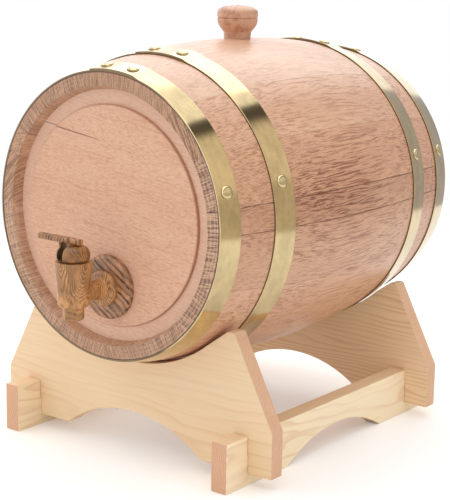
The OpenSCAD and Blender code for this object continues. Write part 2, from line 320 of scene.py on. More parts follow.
def srgb(red, green, blue):
    """A colour as the screen shows it, from 0 to 255, in Blender's linear light."""
    values = [c / 255 for c in (red, green, blue)]
    return tuple(c / 12.92 if c <= 0.04045 else ((c + 0.055) / 1.055) ** 2.4 for c in values) + (1,)


def dimmed(colour, share):
    return srgb(*[c * share for c in colour])


def between(first, second):
    return srgb(*[(a + b) / 2 for a, b in zip(first, second)])


class Nodes:
    """A node tree, with a short call for each kind of node used here."""

    def __init__(self, tree):
        self.tree = tree

    def feed(self, socket, value):
        if isinstance(value, bpy.types.NodeSocket):
            self.tree.links.new(value, socket)
        else:
            socket.default_value = value

    def add(self, kind, inputs=(), **settings):
        node = self.tree.nodes.new(kind)
        for key, value in settings.items():
            setattr(node, key, value)
        for key, value in dict(inputs).items():
            self.feed(node.inputs[key], value)
        return node

    def math(self, operation, *values):
        return self.add("ShaderNodeMath", enumerate(values), operation=operation).outputs[0]

    def split(self, vector):
        return self.add("ShaderNodeSeparateXYZ", {0: vector}).outputs

    def join(self, x, y, z):
        return self.add("ShaderNodeCombineXYZ", {0: x, 1: y, 2: z}).outputs[0]

    def map(self, vector, scale=(1, 1, 1), turn=(0, 0, 0), shift=(0, 0, 0)):
        """Turns, then scales, then shifts a vector. Angles are in degrees."""
        turned_one = self.add("ShaderNodeMapping", {
            "Vector": vector, "Rotation": [math.radians(a) for a in turn],
        }).outputs[0]
        return self.add("ShaderNodeMapping", {
            "Vector": turned_one, "Scale": scale, "Location": shift,
        }).outputs[0]

    def noise(self, vector, scale, detail=2.0, roughness=0.5, distortion=0.0, **mapping):
        return self.add("ShaderNodeTexNoise", {
            "Vector": self.map(vector, scale, **mapping), "Scale": 1.0, "Detail": detail,
            "Roughness": roughness, "Distortion": distortion,
        }).outputs[0]

    def step(self, value, low, high):
        """0 below low, 1 above high, smooth between. high may be the lower one."""
        if low > high:
            return self.minus(1.0, self.step(value, high, low))
        return self.add("ShaderNodeMapRange", {
            "Value": value, "From Min": low, "From Max": high,
        }, interpolation_type="SMOOTHSTEP").outputs[0]

    def mix(self, factor, first, second):
        """first where the factor is 0, and second where it is 1."""
        node = self.add("ShaderNodeMix", data_type="RGBA")
        self.feed(node.inputs[0], factor)
        self.feed(node.inputs[6], first)
        self.feed(node.inputs[7], second)
        return node.outputs[2]

    def times(self, value, amount):
        return self.math("MULTIPLY", value, amount)

    def plus(self, *values):
        total = values[0]
        for value in values[1:]:
            total = self.math("ADD", total, value)
        return total

    def minus(self, value, amount):
        return self.math("SUBTRACT", value, amount)

    def length(self, u, v):
        return self.math("SQRT", self.plus(self.math("POWER", u, 2.0), self.math("POWER", v, 2.0)))

    def thin(self, value, centre, half):
        """1 where value is at the centre, falling to 0 at half on either side of it."""
        off = self.math("ABSOLUTE", self.minus(value, centre))
        return self.step(off, half, 0.0)

    def stripes(self, phase, half):
        """Lines, one for each whole step of phase, each falling to 0 at half on either side."""
        return self.thin(self.math("FRACT", phase), 0.5, half)


class Finish(Nodes):
    """The nodes of one material."""

    def __init__(self, name):
        self.material = bpy.data.materials.new(name)
        self.material.use_nodes = True
        super().__init__(self.material.node_tree)
        self.surface = self.tree.nodes["Principled BSDF"]
        coordinates = self.add("ShaderNodeTexCoord").outputs
        self.place = coordinates["Object"]
        self.normal = coordinates["Normal"]

    def facing(self, axis):
        """1 where the surface faces along the axis, either way, and 0 where it doesn't."""
        return self.step(self.math("ABSOLUTE", self.split(self.normal)[axis]), 0.72, 0.8)

    def bump(self, height, strength, distance):
        node = self.add("ShaderNodeBump", {
            "Height": height, "Strength": strength, "Distance": distance,
        })
        self.feed(self.surface.inputs["Normal"], node.outputs[0])

    def shade(self, values):
        """Sets the surface's inputs, and returns the material."""
        for key, value in values.items():
            self.feed(self.surface.inputs[key], value)
        return self.material

    def around(self, height):
        """(arc at the belly, distance along Y, radius) of a point about an axis along Y."""
        x, y, z = self.split(self.place)
        up = self.minus(z, height)
        arc_at = self.times(self.math("ARCTAN2", up, x), BELLY_RADIUS)
        return self.join(arc_at, y, self.length(x, up))


# ---------------------------------------------------------------- woods


def end_grain(m, radius, shift, direction, fineness, rayed, rows):
    """Colour of a stave's end: dark rays and specks, pale rows across the rays, a dark edge."""
    turn = (0, direction, 0)
    rays = m.noise(
        m.place, (70, 1, 2100 * fineness), roughness=0.6, distortion=0.15, turn=turn, shift=shift)
    specks = m.noise(m.place, (1000, 1, 2000 * fineness), 1, turn=turn, shift=shift)
    bent = m.noise(m.place, (160, 1, 160))
    across = m.stripes(m.plus(m.times(radius, 380), m.times(bent, 1.6)), 0.34)
    cloud = m.noise(m.place, (80, 1, 80), shift=shift)
    end = m.mix(cloud, srgb(182, 134, 102), srgb(208, 166, 132))
    end = m.mix(m.times(m.step(rays, 0.44, 0.58), rayed), end, srgb(104, 62, 42))
    end = m.mix(m.times(m.step(specks, 0.52, 0.68), 0.5), end, srgb(98, 60, 44))
    end = m.mix(m.times(across, rows), end, srgb(228, 202, 182))
    return m.mix(m.step(radius, *END_DARK_EDGE), end, srgb(84, 56, 42))


def stave_oak(number, look, seams):
    """Oak of one stave: fine wavy reddish lines outside, hatched end grain, and a painted shadow
    line along the front edge of each hoop but the first.

    seams are its two joints, (angle, darkness) each. The look holds its tone, its warmth, the
    strengths of its lines, of the strokes across them and of the dark flame, and for its end
    grain the direction in degrees, the fineness, and the strengths of the rays and of the rows
    across them. A negative warmth makes a stave cooler and paler, as painted sheen.
    """
    tone, warmth, lined, stroked, flamed, *end_look = look
    m = Finish("stave_oak_%02d" % number)
    place = m.around(AXIS_Z)
    arc_at, along, radius = m.split(place)
    shift = (number * 7.3, number * 3.1, number * 1.7)

    def toned(red, green, blue):
        return srgb(red * tone, green * tone * (0.985 - warmth / 2), blue * tone * (0.94 - warmth))

    cloud = m.noise(place, (48, 7, 48), shift=shift)
    base = m.mix(cloud, toned(210, 160, 130), toned(234, 190, 162))
    pores = m.noise(place, (1500, 150, 1500), 2, 0.6, shift=shift)
    base = m.mix(m.times(m.step(pores, 0.5, 0.72), 0.35), base, toned(182, 124, 94))
    sway = m.noise(place, (30, 10, 30), 1, shift=shift)
    ripple = m.noise(place, (130, 55, 130), 1, shift=shift)
    wavy = m.plus(arc_at, m.times(sway, 0.012), m.times(ripple, 0.0030))
    fibre = m.noise(m.join(wavy, along, radius), (1150, 42, 1150), 3, 0.6, shift=shift)
    flame = m.thin(arc_at, FLAME_ANGLE * BELLY_RADIUS, FLAME_HALF_W)
    flame = m.times(flame, m.thin(along, FRONT + FLAME_AT, FLAME_HALF_L))
    flame = m.times(flame, flamed)
    patch = m.step(m.noise(place, (36, 14, 36), shift=shift), 0.34, 0.62)
    strength = m.times(m.plus(m.times(patch, 0.5), 0.5, m.times(flame, 0.6)), lined)
    lines = m.times(m.step(m.plus(fibre, m.times(flame, 0.03)), 0.50, 0.59), strength)
    slant = m.plus(m.times(wavy, 400), m.times(along, 290))
    strokes = m.times(m.stripes(slant, 0.24), m.step(fibre, 0.36, 0.56))
    in_figure = m.step(m.noise(place, (30, 20, 30), 1, shift=shift[::-1]), 0.42, 0.58)
    lines = m.math("MAXIMUM", lines, m.times(m.times(strokes, in_figure), stroked))
    base = m.mix(m.times(flame, 0.4), base, toned(186, 128, 94))
    side = m.mix(m.times(lines, 0.72), base, toned(146, 86, 56))

    is_end = m.math("MAXIMUM", m.facing(1), m.times(m.step(radius, *BARE_INSIDE), 0.75))
    colour = m.mix(is_end, side, end_grain(m, radius, shift, *end_look))
    uneven = m.plus(m.times(m.step(ripple, 0.4, 0.6), 0.7), 0.3)
    for angle, darkness in seams:
        joint = m.thin(arc_at, math.remainder(angle, math.tau) * BELLY_RADIUS, JOINT_LINE)
        colour = m.mix(m.times(m.times(joint, uneven), darkness), colour, srgb(112, 62, 42))
    # Painted shadow: a thin dark line on the wood along each of these hoops' front edges.
    for edge in HOOP_EDGES:
        rim = m.thin(along, FRONT + edge, HOOP_SHADOW_HALF_W)
        colour = m.mix(m.times(rim, 0.8), colour, srgb(60, 40, 26))
    m.bump(m.plus(m.times(pores, 0.3), m.times(lines, -0.7)), 0.35, 0.0003)
    return m.shade({
        "Base Color": colour,
        "Roughness": m.plus(m.times(lines, 0.15), 0.4),
        "Coat Weight": m.times(m.minus(1.0, is_end), 0.35),
        "Coat Roughness": 0.24,
    })


def head_oak(name, tilt, number, seam):
    """Smooth oak of the heads, with fine flecks along its planks, a ring outside the raised panel
    painted paler as light, and a painted shade line at the panel's step.

    seam is the height of its open joint, before the head is tilted.
    """
    m = Finish(name)
    turn = (0, -math.degrees(tilt), 0)
    spot = {"turn": turn, "shift": (number * 5.7, number * 1.9, number * 9.1)}
    cloud = m.noise(m.place, (16, 14, 40), **spot)
    base = m.mix(cloud, srgb(212, 160, 128), srgb(226, 182, 152))
    fleck = m.noise(m.place, (330, 500, 1900), 2, 0.65, **spot)
    base = m.mix(m.times(m.step(fleck, 0.5, 0.68), 0.45), base, srgb(178, 118, 88))
    base = m.mix(m.times(m.step(fleck, 0.46, 0.3), 0.35), base, srgb(242, 208, 184))
    threads = m.noise(m.place, (30, 500, 1000), 2, 0.6, **spot)
    base = m.mix(m.times(m.step(threads, 0.55, 0.68), 0.25), base, srgb(178, 118, 88))
    level = m.split(m.map(m.place, turn=turn))
    gap = m.times(m.thin(level[2], seam, JOINT_LINE), m.step(level[0], *HEAD_GAP_X))
    base = m.mix(m.times(gap, 0.95), base, srgb(112, 54, 36))
    radius = m.split(m.around(AXIS_Z))[2]
    # Painted light: the flat ring outside the raised panel is made paler all round.
    ring = m.step(radius, PANEL_RADIUS, PANEL_RADIUS + 0.0006)
    base = m.mix(m.times(ring, 0.3), base, srgb(238, 206, 184))
    # Painted shade: a thin brown line at the panel's step, stronger towards the lower right, where
    # the step's wall is in shade.
    place = m.split(m.place)
    shade_to_lower_right = m.step(m.minus(place[0], place[2]), -0.20, -0.09)
    groove = m.thin(radius, PANEL_RADIUS + 0.0001, 0.0006)
    groove = m.times(groove, m.plus(m.times(shade_to_lower_right, 0.35), 0.25))
    base = m.mix(groove, base, srgb(160, 102, 74))
    m.bump(fleck, 0.15, 0.0002)
    return m.shade({"Base Color": base, "Roughness": 0.5})


def pine(name, along, pith, spacing, strength, end_strength, pale=0.0):
    """Planed pine with growth rings around a pith that runs along axis 0 (X) or 1 (Y).

    The strengths are those of the rings' dark lines along the piece and on its ends, and pale
    is how far its faces along X go from the usual colour to a near white, which is painted light.
    """
    m = Finish(name)

    def stretched(lengthwise, across):
        return (lengthwise, across, across) if along == 0 else (across, lengthwise, across)

    x, y, z = m.split(m.place)
    warp = m.times(m.minus(m.noise(m.place, stretched(7, 40)), 0.5), 0.022)
    reach = m.plus(m.length(m.minus(y if along == 0 else x, pith[0]), m.minus(z, pith[1])), warp)
    ring = m.math("FRACT", m.math("DIVIDE", reach, spacing))
    late = m.times(m.step(ring, 0.45, 0.92), m.step(ring, 1.0, 0.92))
    patch = m.step(m.noise(m.place, (9, 9, 22)), 0.35, 0.65)
    late = m.times(late, m.plus(m.times(patch, 0.8), 0.2))
    fibre = m.noise(m.place, stretched(40, 1500), 2, 0.6)
    base = m.mix(m.noise(m.place, (12, 12, 30)), srgb(243, 216, 180), srgb(238, 206, 164))
    base = m.mix(m.times(m.step(fibre, 0.45, 0.75), 0.25), base, srgb(222, 180, 136))
    # Painted light: faces along X are made paler.
    base = m.mix(m.times(m.facing(0), pale), base, srgb(255, 236, 200))
    side = m.mix(m.times(late, strength), base, srgb(206, 140, 96))

    end = m.mix(m.noise(m.place, (60, 60, 60)), srgb(218, 170, 135), srgb(230, 188, 152))
    speck = m.noise(m.place, (1300, 1300, 1300), 1)
    end = m.mix(m.times(m.step(speck, 0.45, 0.65), 0.35), end, srgb(206, 156, 124))
    end_ring = m.math("FRACT", m.math("DIVIDE", reach, spacing * END_RINGS))
    end_late = m.times(m.step(end_ring, 0.35, 0.85), m.step(end_ring, 1.0, 0.88))
    end = m.mix(m.times(end_late, end_strength), end, srgb(190, 124, 92))
    m.bump(fibre, 0.2, 0.0002)
    return m.shade({"Base Color": m.mix(m.facing(along), side, end), "Roughness": 0.55})


def striped_wood(name, light, dark, scale, turn, contrast, stretch=0.05, cover=0.48):
    """Veined wood and cork, with lines along Z before it is turned.

    scale is that of the veins, and stretch theirs along Z against it. cover is how little of
    the wood is dark.
    """
    m = Finish(name)
    bend = m.add("ShaderNodeTexNoise", {
        "Vector": m.map(m.place, (55, 55, 22), turn), "Scale": 1.0, "Detail": 1.0,
    }).outputs[1]
    bend = m.add("ShaderNodeVectorMath", {0: bend, "Scale": 0.012}, operation="SCALE").outputs[0]
    flow = m.add("ShaderNodeVectorMath", {
        0: m.map(m.place, turn=turn), 1: bend,
    }, operation="ADD").outputs[0]
    veins = m.noise(flow, (scale, scale, scale * stretch), 2, 0.55)
    fine = m.noise(flow, (scale * 3, scale * 3, scale * stretch * 2), 2, 0.6)
    base = m.mix(m.noise(m.place, (120, 120, 60)), srgb(*light), dimmed(light, 0.84))
    base = m.mix(m.times(m.step(fine, 0.5, 0.66), 0.6), base, between(light, dark))
    colour = m.mix(m.times(m.step(veins, cover, cover + 0.1), contrast), base, srgb(*dark))
    m.bump(veins, 0.2, 0.0002)
    return m.shade({"Base Color": colour, "Roughness": 0.4})


def figured_wood(name, light, dark, straight, field, count, turn, contrast, slot=None):
    """Oiled wood with flowing dark lines along Z before it is turned.

    There are straight lines to the metre, bent by count of them over the range of a smooth
    noise of the scale field. slot is where the inside of a slot is painted dark as shade: its
    lowest and highest X, and how far back in Y it goes.
    """
    m = Finish(name)
    smooth = m.noise(m.place, field, 1, 0.4, turn=turn)
    streak = m.noise(m.place, (700, 700, 120), 2, 0.6, turn=turn)
    across = m.split(m.map(m.place, (straight, straight, 1), turn))
    phase = m.plus(
        across[0], m.times(across[1], 0.7), m.times(smooth, count), m.times(streak, 1.1))
    lines = m.times(m.stripes(phase, 0.42), m.step(streak, 0.27, 0.47))
    cloud = m.noise(m.place, (150, 150, 60), turn=turn)
    base = m.mix(m.step(cloud, 0.35, 0.65), srgb(*light), dimmed(light, 0.78))
    fine = m.noise(m.place, (2400, 2400, 300), 1, turn=turn)
    base = m.mix(m.times(m.step(fine, 0.5, 0.68), 0.5), base, between(light, dark))
    broad = m.step(m.noise(m.place, (260, 260, 14), 1, turn=turn), 0.42, 0.58)
    lines = m.times(lines, m.plus(m.times(broad, 0.45), 0.55))
    colour = m.mix(m.times(lines, contrast), base, srgb(*dark))
    # Painted shade: the inside of the slot is darkened.
    if slot:
        place = m.split(m.place)
        low, high, back = slot
        blur = 0.0001
        inside = m.times(m.step(place[0], low - blur, low), m.step(place[0], high + blur, high))
        inside = m.times(inside, m.step(place[1], back + blur, back))
        colour = m.mix(m.times(inside, 0.7), colour, srgb(52, 46, 28))
    m.bump(lines, 0.15, 0.0002)
    return m.shade({"Base Color": colour, "Roughness": 0.4})


# ---------------------------------------------------------------- metal


def brass(name, colour):
    """Satin brass: fine rolling lines, slight unevenness, a thin lacquer, and front edges on the
    left painted darker as shade and made rougher.
    """
    m = Finish(name)
    place = m.around(AXIS_Z)
    lines = m.noise(place, (12, 2600, 12), 2, 0.6)
    cloud = m.noise(place, (70, 110, 70), 3, 0.65)
    wave = m.noise(place, (30, 40, 30), 1)
    base = m.mix(m.step(cloud, 0.3, 0.7), srgb(*colour), dimmed(colour, 0.9))
    base = m.mix(m.times(m.step(lines, 0.5, 0.7), 0.25), base, dimmed(colour, 0.82))
    # Painted shade: front-facing edges left of x = 45 mm are darkened, and also made rougher.
    faces_front = m.step(m.split(m.normal)[1], -0.6, -0.9)
    edge_shade_and_dull = m.times(faces_front, m.step(m.split(m.place)[0], 0.055, 0.045))
    m.bump(m.plus(wave, m.times(lines, 0.02)), 0.08, 0.0012)
    return m.shade({
        "Base Color": m.mix(m.times(edge_shade_and_dull, 0.75), base, srgb(84, 68, 44)),
        "Metallic": 1.0,
        "Roughness": m.plus(m.times(cloud, 0.08), m.times(lines, 0.04), m.times(edge_shade_and_dull, 0.4), 0.08),
        "Coat Weight": 0.4,
        "Coat Roughness": 0.12,
    })


# ---------------------------------------------------------------- the cask


def stave_span(node):
    """Angles at which a stave starts and ends, read from its CAD node."""
    points = [v.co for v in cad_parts[node].data.vertices]
    angles = [math.atan2(p.z - AXIS_Z, p.x) for p in points]
    middle = math.atan2(sum(math.sin(a) for a in angles), sum(math.cos(a) for a in angles))
    turns = [math.remainder(a - middle, math.tau) for a in angles]
    return middle + min(turns), middle + max(turns)


def stave_section(offset):
    """Section of a stave along the cask. offset sets its front end back a little."""
    back = RING_DEPTH + CROZE_W
    behind = wood_radius(back) - STAVE_T - 0.001
    taper = 0.03  # from each end to where the inside follows the outside
    outside = [(wood_radius(s), s) for s in spread(offset, LENGTH, 33)]
    inside = [(wood_radius(s) - STAVE_T, s) for s in spread(LENGTH - taper, taper, 17)]
    rear = [
        (RIM_RADIUS, LENGTH), (CHIME_RADIUS, LENGTH - RING_DEPTH),
        (CROZE_RADIUS, LENGTH - RING_DEPTH), (CROZE_RADIUS, LENGTH - back), (behind, LENGTH - back),
    ]
    front = [
        (behind, back), (CROZE_RADIUS, back), (CROZE_RADIUS, RING_DEPTH),
        (CHIME_RADIUS, RING_DEPTH), (RIM_RADIUS, offset),
    ]
    return outside + rear + inside + front


def make_staves():
    rng = random.Random(4)
    # Tone, warmth, lines, strokes, flame, then the end grain's turn, fineness, rays and rows.
    # The negative warmth of staves 1 and 2, on top, is painted sheen.
    looks = [
        (0.98, -0.05, 0.4, 0, 0, 20, 1.0, 0.6, 0), (1.0, -0.06, 0.5, 0, 0, 5, 1.1, 0.7, 0),
        (1.0, 0, 0.6, 0, 0, -6, 1.1, 0.75, 0.1), (0.99, 0, 0.6, 0, 0, -4, 1.1, 0.7, 0.1),
        (1.02, 0, 0.5, 0, 0, 35, 0.5, 0.4, 0), (0.98, 0.02, 0.7, 0.3, 0, 58, 0.9, 0.75, 0),
        (1.01, 0, 0.6, 0, 0, 10, 0.7, 0.6, 0.3), (0.97, 0.03, 0.8, 0.3, 0, -12, 0.8, 0.65, 0.2),
        (1.0, 0, 0.6, 0, 0, 8, 0.7, 0.6, 0.2), (1.02, 0, 0.5, 0, 0, -6, 0.6, 0.55, 0.1),
        (0.98, 0.02, 0.7, 0, 0, 12, 0.6, 0.6, 0.1), (0.96, 0.05, 0.7, 0.1, 0, -5, 0.6, 0.7, 0.2),
        (0.96, 0.03, 0.8, 0.2, 0, 6, 0.6, 0.75, 0.3),
        (0.93, 0.05, 0.85, 0.3, 0.6, 14, 0.6, 0.8, 0.35),
        (0.91, 0.07, 1.0, 0.5, 1, 0, 0.6, 0.85, 0.35), (0.96, 0.05, 0.9, 0.8, 1, 4, 0.6, 0.85, 0.3),
        (0.98, 0, 0.7, 0.2, 0.3, 72, 0.9, 0.75, 0),
    ]
    bung_hole = [(0, 0), (BUNG_HOLE_R[0], 0), (BUNG_HOLE_R[1], BUNG_HOLE_H), (0, BUNG_HOLE_H)]
    bung_hole = [(r, BUNG_HOLE_BOTTOM + h) for r, h in bung_hole]
    for number, look in enumerate(looks, 1):
        node = "stave_%02d" % number
        first, last = stave_span(node)
        seams = (
            (first, OPEN_DARK if number in (OPEN_STAVE, OPEN_STAVE + 1) else CLOSED_DARK),
            (last, OPEN_DARK if number in (OPEN_STAVE, OPEN_STAVE - 1) else CLOSED_DARK),
        )
        look = list(look)
        look[5] += math.degrees((first + last) / 2)
        if number == OPEN_STAVE:
            first, last = first + OPEN_JOINT, last - OPEN_JOINT
        section = stave_section(rng.uniform(0, 0.0003))
        steps = max(6, int(math.degrees(last - first) / 1.5))
        sections = [(angle, section) for angle in spread(first, last, steps)]
        stave = as_object(swept(sections, on_cask), "oak_" + node)
        if first < math.pi / 2 < last:
            carve(stave, turned(bung_hole, upright(0, BUNG_Y), 48))
        round_edges(stave, 0.0001)
        piece(stave, stave_oak(number, look, seams), "cask", "stave_oak", node)


def head_profile():
    edge = CROZE_RADIUS - 0.0001
    step = [
        (PANEL_RADIUS - 0.0006, PANEL_DEPTH), (PANEL_RADIUS - 0.0001, PANEL_DEPTH + 0.0005),
        (PANEL_RADIUS, RING_DEPTH),
    ]
    inside = [(r, PANEL_DEPTH) for r in (0, 0.02, 0.04, 0.06)]
    return inside + step + [
        (CHIME_RADIUS, RING_DEPTH), (edge, RING_DEPTH), (edge, RING_DEPTH + CROZE_W),
        (HEAD_BACK_RADIUS, PANEL_DEPTH + HEAD_T), (0, PANEL_DEPTH + HEAD_T),
    ]


def make_head(side, tilt, flipped):
    """The three planks of a head, cut from one turned disc along their joints."""
    across = Vector((math.sin(tilt), 0, math.cos(tilt)))
    centre = Vector((0, 0, AXIS_Z))
    seam = max(v.co.dot(across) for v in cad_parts["head_%s_mid" % side].data.vertices)
    profile = [(r, LENGTH - s if flipped else s) for r, s in head_profile()]
    uncut = CROZE_RADIUS - 0.003  # a plank that reaches past this ends at the disc's own edge
    for number, part in enumerate(("low", "mid", "top")):
        node = "head_%s_%s" % (side, part)
        heights = [(v.co - centre).dot(across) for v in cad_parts[node].data.vertices]
        bm = turned(profile, on_cask, 192)
        for edge, sign in ((min(heights), -1), (max(heights), 1)):
            if abs(edge) > uncut:
                continue
            cut = bmesh.ops.bisect_plane(
                bm, geom=bm.verts[:] + bm.edges[:] + bm.faces[:], clear_outer=True,
                plane_co=centre + across * edge, plane_no=across * sign)
            rim = [e for e in cut["geom_cut"] if isinstance(e, bmesh.types.BMEdge)]
            bmesh.ops.contextual_create(bm, geom=rim)
        plank = as_object(bm, "oak_" + node)
        if node == "head_front_low":
            carve(plank, rod(TAP_HOLE_R, -0.002, 0.04, on_tail, 48))
        round_edges(plank, 0.00018, 2, 50)
        wood = head_oak("head_oak_%s_%s" % (side, part), tilt, number + (4 if flipped else 0), seam)
        piece(plank, wood, "cask", "head_oak", node)


def hoop_section(s0, s1, inside, outside):
    """Section of a hoop's strip, from s0 to s1 along the cask.

    Its front edge stands a little off the wood, unless it is the first hoop's.
    """
    lift = HOOP_LIFT if s0 > 0.001 else 0
    corners = [
        (wood_radius(s0) + inside + lift, s0), (wood_radius(s0) + outside, s0),
        (wood_radius(s1) + outside, s1), (wood_radius(s1) + inside, s1),
    ]
    return [(p.x, p.y) for p in rounded(corners, 0.00028)]


def tack_place(s0, s1, angle, rise):
    """Placing of a tack's points: heights leave the hoop at right angles, from rise up."""
    along = on_cask(wood_radius(s1), s1, angle) - on_cask(wood_radius(s0), s0, angle)
    out = Vector((math.cos(angle), 0, math.sin(angle)))
    out = (out - along * out.dot(along) / along.length_squared).normalized()
    side = along.normalized().cross(out)
    matrix = Matrix((side, along.normalized(), out)).transposed().to_4x4()
    matrix.translation = on_cask((wood_radius(s0) + wood_radius(s1)) / 2, (s0 + s1) / 2, angle)
    matrix = matrix @ Matrix.Translation((0, 0, rise))
    return lambda radius, height, turn: matrix @ Vector(
        (radius * math.cos(turn), radius * math.sin(turn), height))


def tack_profile():
    """A tack from the foot of its shank to the top of its dome."""
    shank_r, foot = 0.0012, -0.006
    return [
        (0, foot), (shank_r, foot), (shank_r, -0.0001), (TACK_R - 0.0002, 0), (TACK_R, 0.0003),
    ] + smooth_line([
        (TACK_R - 0.0001, 0.0006), (TACK_R * 0.86, 0.00115), (TACK_R * 0.55, 0.00168),
        (TACK_R * 0.25, TACK_H * 0.985), (0, TACK_H),
    ], 3)


def make_hoops():
    metal = brass("hoop_brass", (218, 195, 145))
    shine = brass("tack_brass", (222, 204, 156))
    seat_depth = 0.003
    seat = [(0, 0), (TACK_R + 0.0004, 0), (TACK_R + 0.0011, seat_depth), (0, seat_depth)]
    for place in ("front_end", "front_inner", "rear_inner", "rear_end"):
        low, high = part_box("hoop_" + place)
        s0, s1 = low.y - FRONT, high.y - FRONT
        ring = hoop_section(s0, s1, 0, HOOP_T)
        hoop = as_object(turned(ring, on_cask, 240, closed=True), "brass_hoop_" + place)
        lap = [(LAP_FROM - LAP_CLIMB, hoop_section(s0, s1, HOOP_T * 0.05, HOOP_T * 0.98))]
        over = hoop_section(s0, s1, HOOP_T * 0.3, HOOP_T * 2)
        lap += [(angle, over) for angle in spread(LAP_FROM, LAP_TO, 17)]
        carve(hoop, swept(lap, on_cask), "UNION")
        heads = bmesh.new()
        for number, angle in enumerate(TACK_ANGLES):
            rise = (2 if number < LAPPED_TACKS else 1) * HOOP_T - TACK_SEAT
            on_hoop = tack_place(s0, s1, angle, rise)
            carve(hoop, turned(seat, on_hoop, 48))
            one = turned(tack_profile(), on_hoop, 40)
            mesh = bpy.data.meshes.new("tack")
            one.to_mesh(mesh)
            one.free()
            heads.from_mesh(mesh)
            bpy.data.meshes.remove(mesh)
        piece(hoop, metal, "cask", "hoop_brass", "hoop_" + place)
        tacks = as_object(heads, "brass_tacks_" + place)
        piece(tacks, shine, "cask", "tack_brass", "tacks_" + place)


# ---------------------------------------------------------------- tap and bung


def make_rosette():
    bevel = 0.0016
    outline = rounded([
        (TAP_HOLE_R, PANEL_DEPTH), (ROSETTE_R, PANEL_DEPTH), (ROSETTE_R, ROSETTE_FRONT + bevel),
        (ROSETTE_R - bevel, ROSETTE_FRONT), (TAP_HOLE_R, ROSETTE_FRONT),
    ], 0.0007)
    outline = [(p.x, p.y) for p in outline]
    disc = as_object(turned(outline, on_tail, 128, closed=True), "walnut_rosette")
    wood = figured_wood(
        "rosette_walnut", (202, 148, 106), (50, 24, 14), 270, (40, 30, 12), 8, (0, 53, 0), 1.0)
    piece(disc, wood, "cask", "rosette_walnut", "rosette")


def make_tap():
    axis = upright(0, TAP_Y)
    reach = TAP_Y - FRONT
    foot = 0.1
    barrel = [(0, foot)] + smooth_line([
        (0.0055, foot), (0.0062, 0.1003), (0.0066, 0.1011), (0.0066, 0.1030), (0.0066, 0.1055),
        (0.0067, 0.1070), (0.0072, 0.1078), (0.0086, 0.1082), (0.0094, 0.1090), (0.0097, 0.1105),
        (0.0099, 0.1150), (0.0103, 0.1200), (0.0107, 0.1255), (0.0111, 0.1300), (0.0113, 0.1330),
        (0.0115, 0.1348), (0.0114, 0.1357), (0.0108, TAP_TOP),
    ], 3) + [(0, TAP_TOP)]
    tap = as_object(turned(barrel, axis, 96), "wood_tap_body")
    neck_r, tail_r, tail_end = 0.0062, 0.0064, 0.024
    tail = [(0, reach + 0.003), (neck_r, reach + 0.003)] + smooth_line([
        (neck_r, ROSETTE_FRONT - 0.0095), (0.0063, ROSETTE_FRONT - 0.0068),
        (0.0072, ROSETTE_FRONT - 0.0047), (0.0092, ROSETTE_FRONT - 0.0040),
        (0.0107, ROSETTE_FRONT - 0.0031), (0.0112, ROSETTE_FRONT - 0.0018),
        (0.0108, ROSETTE_FRONT - 0.0003),
    ], 4) + [
        (0.0107, ROSETTE_FRONT), (tail_r, ROSETTE_FRONT), (tail_r, tail_end - 0.002),
        (0.0055, tail_end), (0, tail_end),
    ]
    carve(tap, turned(tail, on_tail, 96), "UNION")
    carve(tap, rod(KEY_SEAT_R, KEY_SEAT_Z, 0.15, axis, 64))
    carve(tap, rod(BORE_R, 0.09, 0.12, axis, 32))
    carve(tap, rod(BORE_R, reach, 0.03, on_tail, 32))
    wood = figured_wood(
        "tap_wood", (214, 156, 98), (98, 50, 22), 290, (60, 60, 30), 20, (8, 10, 0), 0.75)
    piece(tap, wood, "tap", "tap_wood", "tap_body")

    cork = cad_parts["tap_cork"]
    cork.data.materials.clear()
    cork.data.materials.append(
        striped_wood("cork", (205, 165, 115), (150, 105, 70), 900, (0, 0, 0), 0.5))


def make_key():
    axis = upright(0, TAP_Y)
    shank_r, foot = 0.0048, TAP_Z - 0.005
    bead = [(0, foot), (shank_r, foot), (shank_r, BEAD_BOTTOM)] + smooth_line([
        (0.0088, BEAD_BOTTOM), (0.0100, BEAD_BOTTOM + 0.0014), (0.0104, BEAD_BOTTOM + 0.0036),
        (0.0100, BEAD_BOTTOM + 0.0058), (0.0089, BEAD_BOTTOM + 0.0076),
        (0.0072, BEAD_BOTTOM + 0.0089), (0.0054, BEAD_TOP),
    ], 4) + [(0, BEAD_TOP)]
    key = as_object(turned(bead, axis, 96), "wood_tap_key")
    neck_x, neck_half_w, neck_half_d = -0.0023, 0.0044, 0.0057
    carve(key, block(
        (neck_x - neck_half_w, TAP_Y - neck_half_d, BEAD_TOP - 0.001),
        (neck_x + neck_half_w, TAP_Y + neck_half_d, BEAD_TOP + 0.002)), "UNION")
    slot_low, slot_high, slot_back = -0.005, 0.0006, TAP_Y - neck_half_d + 0.002
    carve(key, block(
        (slot_low, TAP_Y - 0.012, BEAD_BOTTOM + 0.001), (slot_high, slot_back, BEAD_TOP + 0.01)))
    low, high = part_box("tap_lever")
    carve(key, block((-0.02, low.y, low.z), (0.02, high.y, high.z)))
    bore = [(0, TAP_Z - 0.01), (BORE_R, TAP_Z - 0.01), (BORE_R, TAP_Z), (0, TAP_Z + 0.003)]
    carve(key, turned(bore, axis, 32))
    round_edges(key, 0.00025)
    # The slot's inside gets painted shade.
    wood = figured_wood(
        "key_wood", (184, 128, 74), (76, 38, 16), 380, (70, 70, 40), 20, (20, 30, 0), 0.8,
        (slot_low, slot_high, slot_back + 0.0001))
    piece(key, wood, "key", "key_wood", "tap_key")

    lever = as_object(block(low, high), "wood_tap_lever")
    round_edges(lever, 0.0006, 3)
    wood = figured_wood(
        "lever_wood", (198, 142, 92), (60, 32, 16), 300, (60, 20, 30), 7, (0, 0, 0), 1.0)
    piece(lever, wood, "key", "lever_wood", "tap_lever")


